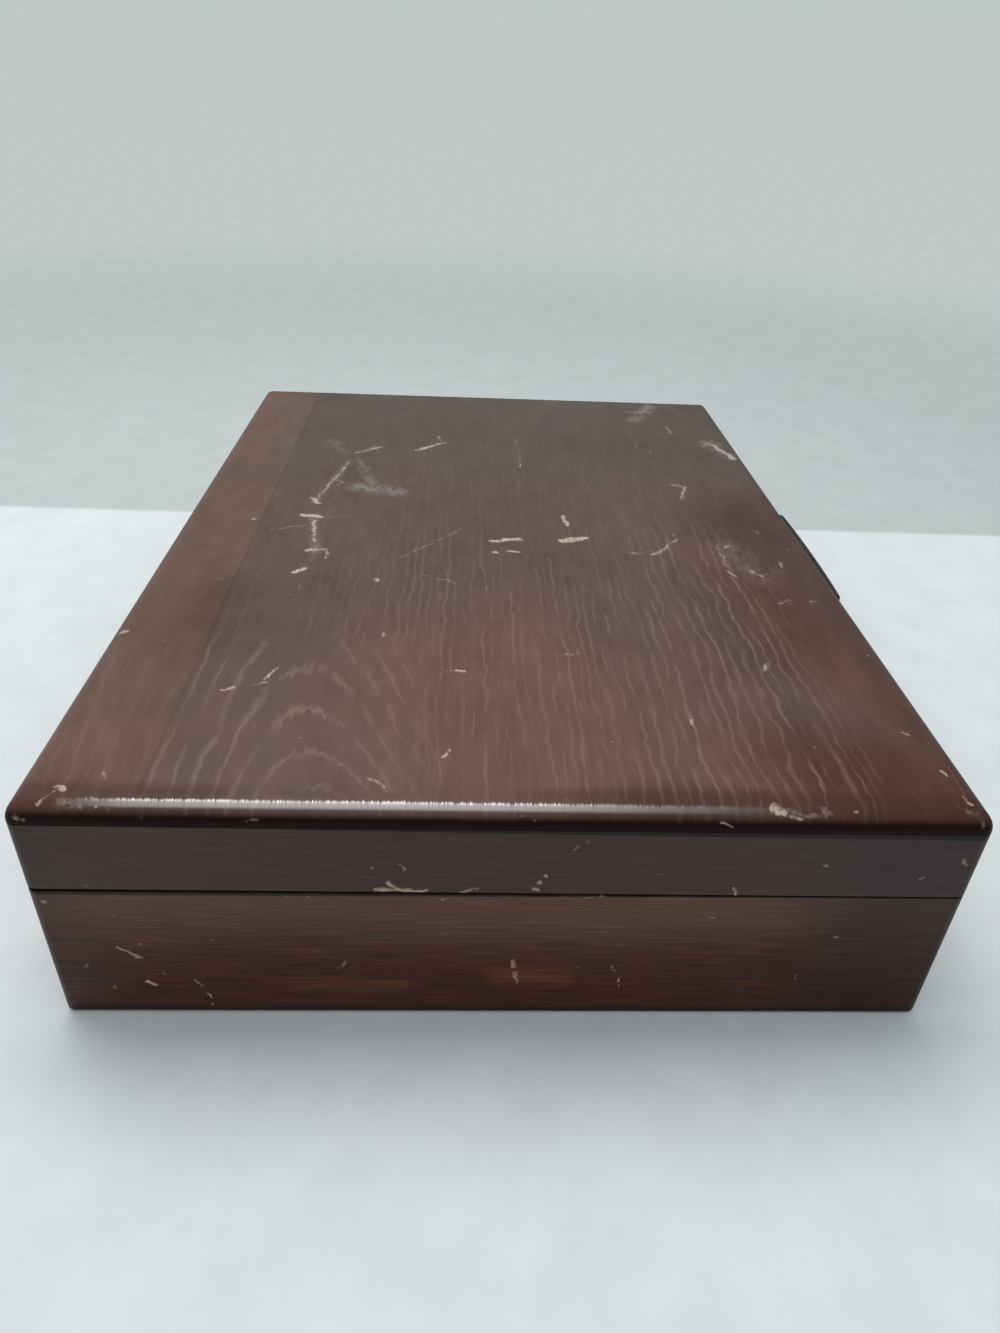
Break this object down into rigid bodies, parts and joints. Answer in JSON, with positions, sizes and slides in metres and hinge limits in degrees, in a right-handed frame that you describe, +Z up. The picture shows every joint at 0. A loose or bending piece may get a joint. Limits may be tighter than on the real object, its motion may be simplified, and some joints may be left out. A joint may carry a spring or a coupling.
{
  "type": "silverware chest",
  "caption": "Low stained-wood silverware chest with a rounded top board, back-hinged lid, front finger pull, brass lid stay and flannel-lined racks.",
  "frame": {"origin": "middle of the underside, on the surface the chest stands on, midway between the outer faces of the walls", "axes": "+X along the long side, +Y to the back where the hinges are, so the finger pull faces -Y, +Z up; the lid is closed at rest"},
  "size_m": [0.3906, 0.2932, 0.0873],
  "materials": {
    "stained_wood": "dark reddish-brown stain under satin varnish",
    "top_wood": "open-grained figured board, dark stain under satin varnish, scratched",
    "panel_wood": "plain thin panel with one coat of stain",
    "flannel_covered_wood": "wood covered with brown tarnish-proof flannel",
    "flannel_lining": "brown tarnish-proof flannel on thin card",
    "flannel_pad": "brown tarnish-proof flannel over a thin pad",
    "brass": "aged satin brass",
    "steel": "dull bright steel"
  },
  "bodies": {
    "base": {"base_front_wall": "stained_wood", "base_back_wall": "stained_wood", "base_left_end": "stained_wood", "base_right_end": "stained_wood", "base_bottom_panel": "panel_wood", "bottom_panel_brads": "steel", "base_front_lining": "flannel_lining", "base_back_lining": "flannel_lining", "base_left_lining": "flannel_lining", "base_right_lining": "flannel_lining", "base_floor_pad": "flannel_pad", "centre_partition": "flannel_covered_wood", "serving_partition": "flannel_covered_wood", "left_front_rack": "flannel_covered_wood", "left_back_rack": "flannel_covered_wood", "centre_front_rack": "flannel_covered_wood", "centre_back_rack": "flannel_covered_wood", "left_hinge_base_leaf": "brass", "left_hinge_pin": "brass", "right_hinge_base_leaf": "brass", "right_hinge_pin": "brass", "hinge_base_screws": "brass", "stay_stud": "brass", "stay_stud_washer": "brass"},
    "lid": {"lid_front_rail": "stained_wood", "lid_back_rail": "stained_wood", "lid_left_rail": "stained_wood", "lid_right_rail": "stained_wood", "lid_top_board": "top_wood", "finger_pull": "stained_wood", "finger_pull_screws": "steel", "lid_front_lining": "flannel_lining", "lid_back_lining": "flannel_lining", "lid_left_lining": "flannel_lining", "lid_right_lining": "flannel_lining", "lid_pad": "flannel_pad", "knife_handle_rack": "flannel_covered_wood", "knife_blade_rack": "flannel_covered_wood", "left_hinge_lid_leaf": "brass", "right_hinge_lid_leaf": "brass", "hinge_lid_screws": "brass", "stay_pivot_screw": "brass", "stay_pivot_washer": "brass"},
    "stay": {"stay_arm": "brass"}
  },
  "joints": [
    {"name": "lid_hinge", "type": "hinge", "parent": "base", "child": "lid", "pos_m": [0, 0.142, 0.05545], "axis": [-1, 0, 0], "range_deg": [0, 95]},
    {"name": "stay_pivot", "type": "hinge", "parent": "lid", "child": "stay", "pos_m": [0.1825, 0.11582, 0.06229], "axis": [-1, 0, 0], "range_deg": [-47.5, 0]}
  ],
  "couplings": [
    {"joint": "stay_pivot", "follows": "lid_hinge", "ratio": -0.5}
  ]
}
